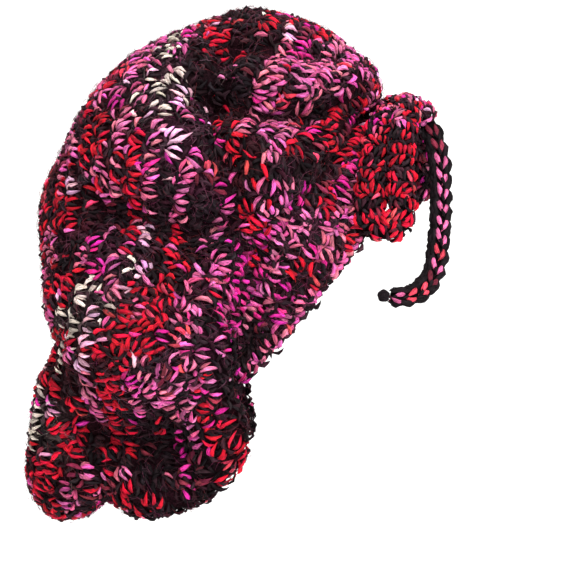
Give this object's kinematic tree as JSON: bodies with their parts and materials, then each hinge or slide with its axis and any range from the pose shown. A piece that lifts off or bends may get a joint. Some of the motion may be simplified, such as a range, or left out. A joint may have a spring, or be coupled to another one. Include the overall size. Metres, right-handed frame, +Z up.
{
  "type": "crochet bonnet",
  "caption": "Slouchy crocheted bonnet: a full gathered bag on a brim band, drawn in by a cord tied in a bow at the forehead.",
  "frame": {"origin": "the inside top of the crown, where the bonnet sits on a head", "axes": "+X forward to the face, +Y to the wearer's left, +Z up"},
  "size_m": [0.2706, 0.2193, 0.3263],
  "materials": {
    "band_crochet": "fuzzy crochet, black with pink and red variegated yarn",
    "bag_crochet": "fuzzy crochet, black with red, magenta, pink and white variegated yarn",
    "bow_crochet": "fuzzy crocheted cord, red and black yarn",
    "tie_crochet": "crocheted cord, black yarn with pink and red stitches",
    "black_yarn": "fuzzy black yarn"
  },
  "bodies": {
    "root": {"brim_band": "band_crochet", "bag": "bag_crochet", "bow_knot": "bow_crochet", "bow_loop_right": "bow_crochet", "bow_loop_left": "bow_crochet", "tie_cord": "tie_crochet", "tie_end_knot": "black_yarn"}
  },
  "joints": []
}
